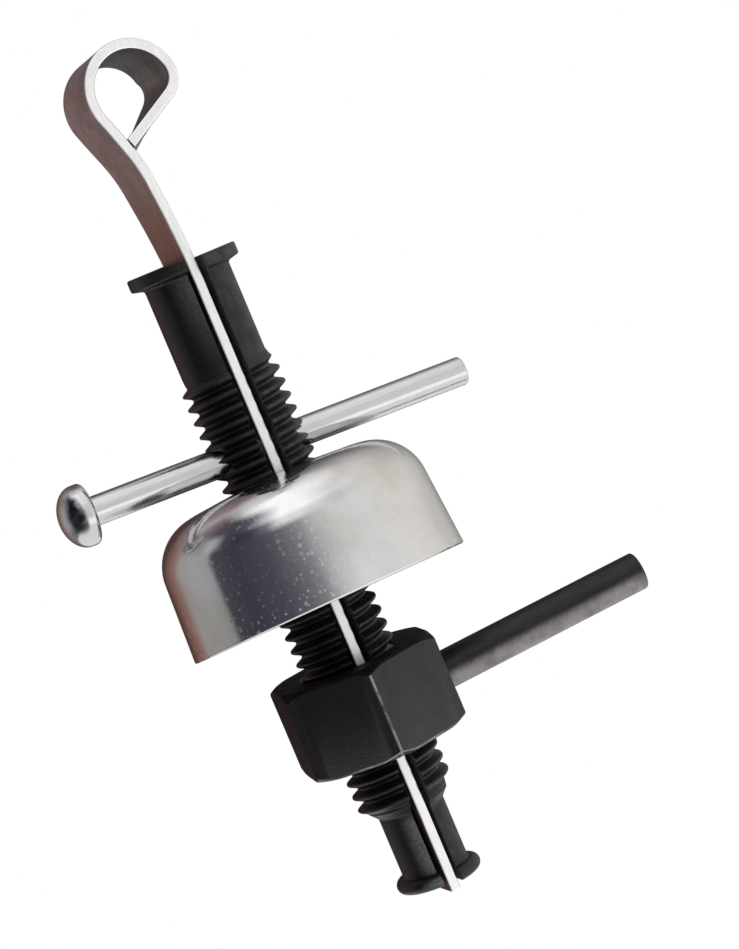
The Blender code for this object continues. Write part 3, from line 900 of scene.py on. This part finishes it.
def worn_steel():
    """The nut's front corner and lower edges: the nearer to the corner, the more black is off."""
    n = MaterialNodes("worn_steel")
    patches = n.noise(260.0, 5.0, 0.7)
    x, _, _ = n.axes()
    near_corner = n.ranged(n.math("ABSOLUTE", x), 5 * MM, 11 * MM, 1.0, 0.0)
    paler_share = n.math("MULTIPLY", n.ranged(patches, 0.30, 0.62), near_corner)
    colour = n.mixed(paler_share, WORN_BLACK, WORN_METAL)
    rough = n.ranged(patches, 0.2, 0.8, 0.5, 0.32)
    return n.finish(colour, rough, n.bump(patches, 0.3, 0.1 * MM), n.math("MULTIPLY", paler_share, 0.7))


def sawn_steel():
    """The sawn faces inside the slot, dark grey, with the saw's marks across them."""
    n = MaterialNodes("sawn_steel")
    wave = n.add("TexWave", wave_type="BANDS", bands_direction="Z")
    n.feed(wave.inputs["Vector"], n.stretched((1.0, 0.25, 1.0)))
    wave.inputs["Scale"].default_value = 450.0
    wave.inputs["Distortion"].default_value = 3.0
    wave.inputs["Detail"].default_value = 2.0
    mottle = n.noise(300.0)
    colour = n.mixed(n.ranged(mottle, 0.3, 0.7), SAWN_DARK, SAWN_LIGHT)
    rough = n.ranged(mottle, 0.2, 0.8, 0.5, 0.7)
    return n.finish(colour, rough, n.bump(wave.outputs[1], 0.4, 0.06 * MM), 0.0)


def bright_steel(name, colour, stain, roughness, stretch, metallic=1.0, painted_dark_reflection=False):
    """Bright rolled or drawn steel, with fine lines along its run and faint stains.

    When asked, a painted dark reflection darkens the front of the bar's domed head.
    """
    n = MaterialNodes(name)
    lines = n.noise(900.0, 4.0, 0.6, n.stretched(stretch))
    cloud = n.noise(160.0, 4.0, 0.6)
    tint = n.mixed(n.ranged(cloud, 0.45, 0.85, 0.0, 0.6), colour, stain)
    darker = n.mixed(n.ranged(lines, 0.35, 0.65, 0.16, 0.0), tint, LINE_GREY)
    if painted_dark_reflection:
        # Painted reflection: the dome's front, facing one way, is made darker.
        x, _, _ = n.axes()
        rim = -BAR_LEFT_REACH - BAR_HEAD_RIM
        on_dome = n.ranged(x, rim - 0.5 * MM, rim + 0.1 * MM, 1.0, 0.0)
        patch = n.ranged(n.dot(n.facing, PAINTED_DARK_REFLECTION_SIDE), 0.76, 0.92)
        streaks = n.ranged(n.noise(520.0, 4.0, 0.6), 0.30, 0.60, 0.45, 1.0)
        shade = n.math("MULTIPLY", n.math("MULTIPLY", on_dome, patch), streaks)
        darker = n.mixed(shade, darker, PAINTED_DARK_REFLECTION)
    rough = n.math("ADD", n.ranged(lines, 0.3, 0.7, roughness - 0.05, roughness + 0.07),
                   n.ranged(cloud, 0.3, 0.8, 0.0, 0.06))
    return n.finish(darker, rough, n.bump(lines, 0.12, 0.05 * MM), metallic)


def strip_scale(name, thin, thick, brown_and_slot_shade=False):
    """The strip's flat faces, under a thin rolling scale that varies in thickness.

    A brown one is browner below the eye, down to the shank, and darker between the halves, where
    shade is painted into the slot.
    """
    n = MaterialNodes(name)
    cloud = n.noise(120.0, 5.0, 0.6)
    if brown_and_slot_shade:
        _, _, z = n.axes()
        wander = n.math("ADD", z, n.math("MULTIPLY", n.noise(70.0), 12 * MM))
        warmth = n.ranged(wander, BIG_LIP_BOTTOM + 8 * MM, EYE_TWIST_TOP + 6 * MM, 1.0, 0.0)
        # Painted shade: darker between the halves, inside the slot
        between = n.ranged(z, BIG_LIP_BOTTOM - 1 * MM, BIG_LIP_BOTTOM + 2 * MM, 1.0, 0.0)
        lower = n.mixed(between, SCALE_BROWN, SCALE_SLOT_SHADE)
        thin = n.mixed(warmth, thin, lower)
        thick = n.mixed(warmth, thick, lower)
    lines = n.noise(800.0, 4.0, 0.6, n.stretched((3.0, 3.0, 0.5)))
    colour = n.mixed(n.ranged(cloud, 0.30, 0.70), thin, thick)
    streaked = n.mixed(n.ranged(lines, 0.30, 0.65, 0.35, 0.0), colour, SCALE_LINES)
    rough = n.ranged(cloud, 0.2, 0.8, 0.28, 0.42)
    return n.finish(streaked, rough, n.bump(lines, 0.15, 0.05 * MM), 0.85)


def handle_steel():
    """A dark rod, paler and more metallic along its lower front side, and mottled all over."""
    n = MaterialNodes("handle_steel")
    band = Vector((0.0, -math.cos(HANDLE_BAND), math.sin(HANDLE_BAND)))
    band.rotate(Matrix.Rotation(NUT_TURN, 3, "Z"))
    patches = n.noise(330.0, 5.0, 0.65)
    streaks = n.noise(700.0, 4.0, 0.6, n.stretched((0.35, 2.0, 2.0)))
    paler_mask = n.ranged(n.dot(n.facing, band), 0.62, 0.98)
    paler_share = n.math("MULTIPLY", paler_mask, n.ranged(patches, 0.25, 0.65, 0.45, 1.0))
    dark = n.mixed(n.ranged(streaks, 0.3, 0.7), HANDLE_BLACK, HANDLE_DARK)
    colour = n.mixed(paler_share, dark, HANDLE_METAL)
    rough = n.ranged(patches, 0.2, 0.8, 0.46, 0.34)
    normal = n.bump(patches, 0.25, 0.2 * MM, n.bump(streaks, 0.2, 0.05 * MM))
    return n.finish(colour, rough, normal, n.math("MULTIPLY", paler_share, 0.5), 0.32)


def speckle(n, scale, reach, share):
    """Round specks in a share of cells of random strength; reach is their size within a cell."""
    cells = n.add("TexVoronoi", feature="F1")
    n.feed(cells.inputs["Vector"], n.position)
    cells.inputs["Scale"].default_value = scale
    strength, _, _ = n.axes(cells.outputs["Color"])
    chosen = n.ranged(strength, 1 - share, 1.0)
    return n.math("MULTIPLY", n.ranged(cells.outputs["Distance"], 0.0, reach, 1.0, 0.0), chosen)


def plated_steel():
    """The bell's polished plating, with fine scratches, slow waves, and specks densest low down."""
    n = MaterialNodes("plated_steel")
    scratches = n.noise(700.0, 5.0, 0.7, n.stretched((1.0, 1.0, 9.0)))
    cloud = n.noise(110.0, 3.0, 0.55)
    stain = n.noise(75.0, 5.0, 0.6)
    waves = n.noise(38.0, 1.0, 0.4)
    specks = n.math("MAXIMUM", speckle(n, 800.0, 0.42, 0.85), speckle(n, 1400.0, 0.50, 0.90))
    _, _, z = n.axes()
    low = n.ranged(z, BELL_TOP - BELL_HEIGHT, BELL_TOP - 8 * MM, 1.0, 0.4)
    dust = n.math("MULTIPLY", n.math("MULTIPLY", specks, low), n.ranged(cloud, 0.25, 0.50, 0.2, 1.0))
    base = n.mixed(n.ranged(stain, 0.42, 0.72), PLATING, PLATING_STAIN)
    colour = n.mixed(n.math("MULTIPLY", dust, 0.5), base, PLATING_DUST)
    rough = n.math("ADD", n.ranged(scratches, 0.3, 0.75, 0.07, 0.15), n.math("MULTIPLY", dust, 0.60))
    slow = n.bump(waves, 0.12, 1.2 * MM)
    peel = n.bump(n.noise(520.0, 3.0, 0.5), 0.06, 0.10 * MM, slow)
    normal = n.bump(specks, 0.12, 0.03 * MM, n.bump(scratches, 0.05, 0.05 * MM, peel))
    return n.finish(colour, rough, normal, 1.0)


# ---------------------------------------------------------------- light, floor and camera

def view_axes():
    """Before the camera's roll: its right, the direction from the object to it, and its up."""
    right = Vector((math.cos(CAMERA_AZIMUTH), math.sin(CAMERA_AZIMUTH), 0.0))
    back = Vector((
        math.sin(CAMERA_AZIMUTH) * math.cos(CAMERA_ELEVATION),
        -math.cos(CAMERA_AZIMUTH) * math.cos(CAMERA_ELEVATION),
        math.sin(CAMERA_ELEVATION),
    ))
    return right, back, back.cross(right)


def camera():
    level_right, back, level_up = view_axes()
    right = level_right * math.cos(CAMERA_ROLL) - level_up * math.sin(CAMERA_ROLL)
    up = level_right * math.sin(CAMERA_ROLL) + level_up * math.cos(CAMERA_ROLL)
    target = Vector((0.0, 0.0, CAMERA_TARGET_HEIGHT)) + level_right * CAMERA_TARGET_SHIFT
    matrix = Matrix((right, up, back)).transposed().to_4x4()
    matrix.translation = target + back * CAMERA_DISTANCE
    data = bpy.data.cameras.new("photo_camera")
    data.lens = CAMERA_LENS
    data.sensor_width = SENSOR_WIDTH
    data.clip_start = CLIP_START
    obj = linked("photo_camera", data)
    obj.matrix_world = matrix
    bpy.context.scene.camera = obj


# The studio, as rings of colour at a few elevations. Each ring's stops give degrees round from the
# camera's side (plus is to its right) and colour: dark screens behind and to the left, a brown wall
# behind on the left, and a bright opening in front on the right.
STUDIO_BELOW = (
    (-180, (0.10, 0.10, 0.10)),
    (-150, (0.20, 0.12, 0.10)),
    (-120, (0.30, 0.30, 0.30)),
    (-80, (0.14, 0.14, 0.15)),
    (-30, (0.35, 0.35, 0.36)),
    (10, (1.50, 1.50, 1.50)),
    (60, (1.65, 1.65, 1.65)),
    (110, (0.90, 0.90, 0.89)),
    (160, (0.15, 0.15, 0.15)),
    (180, (0.10, 0.10, 0.10)),
)
STUDIO_LEVEL = (
    (-180, (0.10, 0.10, 0.10)),
    (-168, (0.07, 0.045, 0.04)),
    (-155, (0.11, 0.06, 0.05)),
    (-140, (0.27, 0.145, 0.12)),
    (-129, (0.36, 0.23, 0.20)),
    (-120, (0.46, 0.43, 0.42)),
    (-100, (0.48, 0.48, 0.48)),
    (-82, (0.44, 0.44, 0.45)),
    (-77, (0.085, 0.085, 0.105)),
    (-55, (0.06, 0.06, 0.085)),
    (-30, (0.09, 0.09, 0.12)),
    (-12, (0.15, 0.15, 0.17)),
    (3, (0.28, 0.28, 0.30)),
    (18, (0.72, 0.72, 0.74)),
    (36, (1.00, 1.00, 1.00)),
    (60, (0.97, 0.97, 0.96)),
    (90, (1.03, 1.00, 0.95)),
    (120, (0.92, 0.89, 0.85)),
    (145, (0.66, 0.64, 0.61)),
    (165, (0.34, 0.33, 0.32)),
    (180, (0.10, 0.10, 0.10)),
)
STUDIO_MIDDLE = (
    (-180, (0.09, 0.09, 0.09)),
    (-160, (0.20, 0.16, 0.16)),
    (-140, (0.32, 0.23, 0.23)),
    (-115, (0.36, 0.32, 0.31)),
    (-95, (0.36, 0.36, 0.37)),
    (-82, (0.60, 0.60, 0.61)),
    (-76, (0.42, 0.42, 0.45)),
    (-68, (0.08, 0.08, 0.095)),
    (-52, (0.05, 0.05, 0.068)),
    (-36, (0.07, 0.07, 0.105)),
    (-22, (0.22, 0.22, 0.26)),
    (-10, (1.05, 1.05, 1.05)),
    (8, (1.15, 1.15, 1.15)),
    (30, (1.00, 1.00, 1.00)),
    (50, (0.88, 0.88, 0.88)),
    (98, (0.98, 0.95, 0.88)),
    (125, (0.76, 0.73, 0.69)),
    (150, (0.55, 0.52, 0.50)),
    (170, (0.18, 0.18, 0.18)),
    (180, (0.09, 0.09, 0.09)),
)
STUDIO_RAISED = (
    (-180, (0.11, 0.11, 0.11)),
    (-160, (0.26, 0.20, 0.21)),
    (-142, (0.40, 0.30, 0.33)),
    (-127, (0.55, 0.48, 0.53)),
    (-112, (0.28, 0.24, 0.26)),
    (-90, (0.12, 0.10, 0.12)),
    (-60, (0.08, 0.08, 0.11)),
    (-42, (0.14, 0.14, 0.20)),
    (-22, (0.90, 0.90, 0.94)),
    (-8, (1.55, 1.55, 1.55)),
    (20, (1.45, 1.45, 1.45)),
    (45, (1.12, 1.12, 1.12)),
    (90, (0.98, 0.96, 0.94)),
    (125, (0.84, 0.81, 0.80)),
    (150, (0.58, 0.55, 0.55)),
    (172, (0.22, 0.21, 0.21)),
    (180, (0.11, 0.11, 0.11)),
)
STUDIO_OVERHEAD = (
    (-180, (0.60, 0.60, 0.60)),
    (-150, (0.76, 0.75, 0.75)),
    (-97, (0.92, 0.92, 0.92)),
    (-70, (1.32, 1.32, 1.33)),
    (-35, (1.56, 1.56, 1.56)),
    (8, (1.60, 1.60, 1.60)),
    (30, (1.38, 1.38, 1.38)),
    (85, (1.28, 1.28, 1.28)),
    (140, (1.00, 1.00, 0.99)),
    (180, (0.60, 0.60, 0.60)),
)
# Each ring above the lowest one, and the heights between which it takes over, as the sine of the
# elevation
STUDIO_RINGS = (
    (STUDIO_LEVEL, -0.40, -0.12),
    (STUDIO_MIDDLE, 0.26, 0.48),
    (STUDIO_RAISED, 0.54, 0.70),
    (STUDIO_OVERHEAD, 0.82, 0.97),
)


def ring_colour(n, around, ring_stops):
    """A ring's colour; around runs from 0 to 1, once round from behind."""
    ramp = n.add("ValToRGB")
    n.feed(ramp.inputs[0], around)
    stops = ramp.color_ramp.elements
    stops.remove(stops[-1])
    stops[0].position, stops[0].color = 0.0, (*ring_stops[0][1], 1.0)
    for degrees, colour in ring_stops[1:]:
        stops.new((degrees + 180) / 360).color = (*colour, 1.0)
    return ramp.outputs[0]


def studio_colour(n):
    """The rings, each blended with height into the one above."""
    right, back, _ = view_axes()
    level_back = Vector((back.x, back.y, 0.0)).normalized()
    bearing = n.math("ARCTAN2", n.dot(n.position, right), n.dot(n.position, level_back))
    around = n.math("MULTIPLY_ADD", bearing, 1 / TURN, 0.5)
    _, _, height = n.axes()
    colour = ring_colour(n, around, STUDIO_BELOW)
    for ring_stops, low, high in STUDIO_RINGS:
        colour = n.mixed(n.ranged(height, low, high), colour, ring_colour(n, around, ring_stops))
    return colour


def studio_world():
    """A soft studio as the world's light, plain white where the camera looks past the object."""
    world = bpy.data.worlds.new("studio")
    bpy.context.scene.world = world
    world.use_nodes = True
    world.node_tree.nodes.clear()
    n = Nodes(world.node_tree, "Generated")
    studio, white, choose = n.add("Background"), n.add("Background"), n.add("MixShader")
    n.feed(studio.inputs[0], studio_colour(n))
    n.feed(white.inputs[0], WHITE)
    n.feed(choose.inputs[0], n.add("LightPath").outputs["Is Camera Ray"])
    n.feed(choose.inputs[1], studio.outputs[0])
    n.feed(choose.inputs[2], white.outputs[0])
    n.feed(n.add("OutputWorld").inputs[0], choose.outputs[0])


def floor():
    """A plain pale floor well under the tool, lit through like a light table."""
    mesh = bpy.data.meshes.new("floor")
    outline = ring(FLOOR_RADIUS, FLOOR_HEIGHT, FLOOR_STEPS)
    mesh.from_pydata(outline, [], [list(range(FLOOR_STEPS))])
    n = MaterialNodes("pale_floor")
    grain = n.noise(60.0)
    colour = n.mixed(grain, FLOOR_DARK, FLOOR_LIGHT)
    n.shader.inputs["Emission Color"].default_value = WHITE
    n.shader.inputs["Emission Strength"].default_value = FLOOR_GLOW
    n.finish(colour, n.ranged(grain, 0.3, 0.7, 0.85, 0.95), n.bump(grain, 0.05, 0.1 * MM), 0.0)
    mesh.materials.append(n.material)
    obj = linked("floor", mesh)


# ---------------------------------------------------------------- the whole

def add_shank():
    """The two halves, painted as shaded and lit: the left blacker, the right paler at its crests."""
    crest = THREAD_DIAMETER / 2
    # The left half's darker colours and fainter crests are painted shade; the right half's paler crests
    # are a painted highlight.
    shaded_left_black = black_steel(
        "black_steel_left_shaded", (0.002, 0.002, 0.002), (0.007, 0.006, 0.006),
        roughness=0.36, specular=0.37, crest_radius=crest, crest_rub_and_highlight=0.2, sheen=0.9)
    lit_right_black = black_steel(
        "black_steel_right_lit", (0.003, 0.003, 0.003), (0.022, 0.019, 0.019),
        roughness=0.42, specular=0.35, crest_radius=crest, crest_rub_and_highlight=0.5)
    sawn = sawn_steel()
    left, right = half_shank("shank_left", -1), half_shank("shank_right", 1)
    finish_piece(left, "shank", "shank_steel", "half_shank_left", shaded_left_black, sawn)
    finish_piece(right, "shank", "shank_steel", "half_shank_right", lit_right_black, sawn)


def add_strip():
    edge_metal = bright_steel(
        "strip_edge", (0.92, 0.91, 0.90), (0.80, 0.77, 0.75),
        roughness=0.34, stretch=(6.0, 6.0, 0.4), metallic=0.75)
    outer = strip_scale("strip_outer_scale", (0.66, 0.60, 0.62), (0.42, 0.36, 0.37), brown_and_slot_shade=True)
    # The face towards +X, inside the eye, is a darker copy of the scale: painted shade
    inner = strip_scale("strip_inner_scale_shaded", (0.30, 0.33, 0.35), (0.17, 0.20, 0.22))
    finish_piece(wedge_strip(), "strip", "strip_steel", "wedge_strip", edge_metal, outer, inner)


def add_bar():
    metal = bright_steel(
        "bar_steel", (0.61, 0.61, 0.62), (0.54, 0.53, 0.53),
        roughness=0.17, stretch=(0.4, 6.0, 6.0), painted_dark_reflection=True)
    finish_piece(tommy_bar(), "bar", "bar_steel", "tommy_bar", metal)


def add_bell():
    finish_piece(bell(), "bell", "plated_steel", "bell", plated_steel())


def add_nut_and_handle():
    black = black_steel(
        "nut_black", (0.002, 0.002, 0.002), (0.008, 0.006, 0.006), roughness=0.40, specular=0.5)
    # The dark scale of the nut's top, also used as painted shade on the side away from the handle
    scale = black_steel(
        "nut_scale_and_shade", (0.003, 0.0015, 0.002), (0.010, 0.004, 0.005), roughness=0.60, specular=0.15)
    finish_piece(hex_nut(), "nut", "nut_steel", "hex_nut", black, worn_steel(), scale)
    rod = handle_rod("handle", HANDLE_RADIUS, 0.0)
    finish_piece(rod, "nut", "handle_steel", "nut_handle", handle_steel())


camera()
add_shank()
add_strip()
add_bar()
add_bell()
add_nut_and_handle()
studio_world()
floor()
bpy.context.scene.view_settings.view_transform = "Standard"
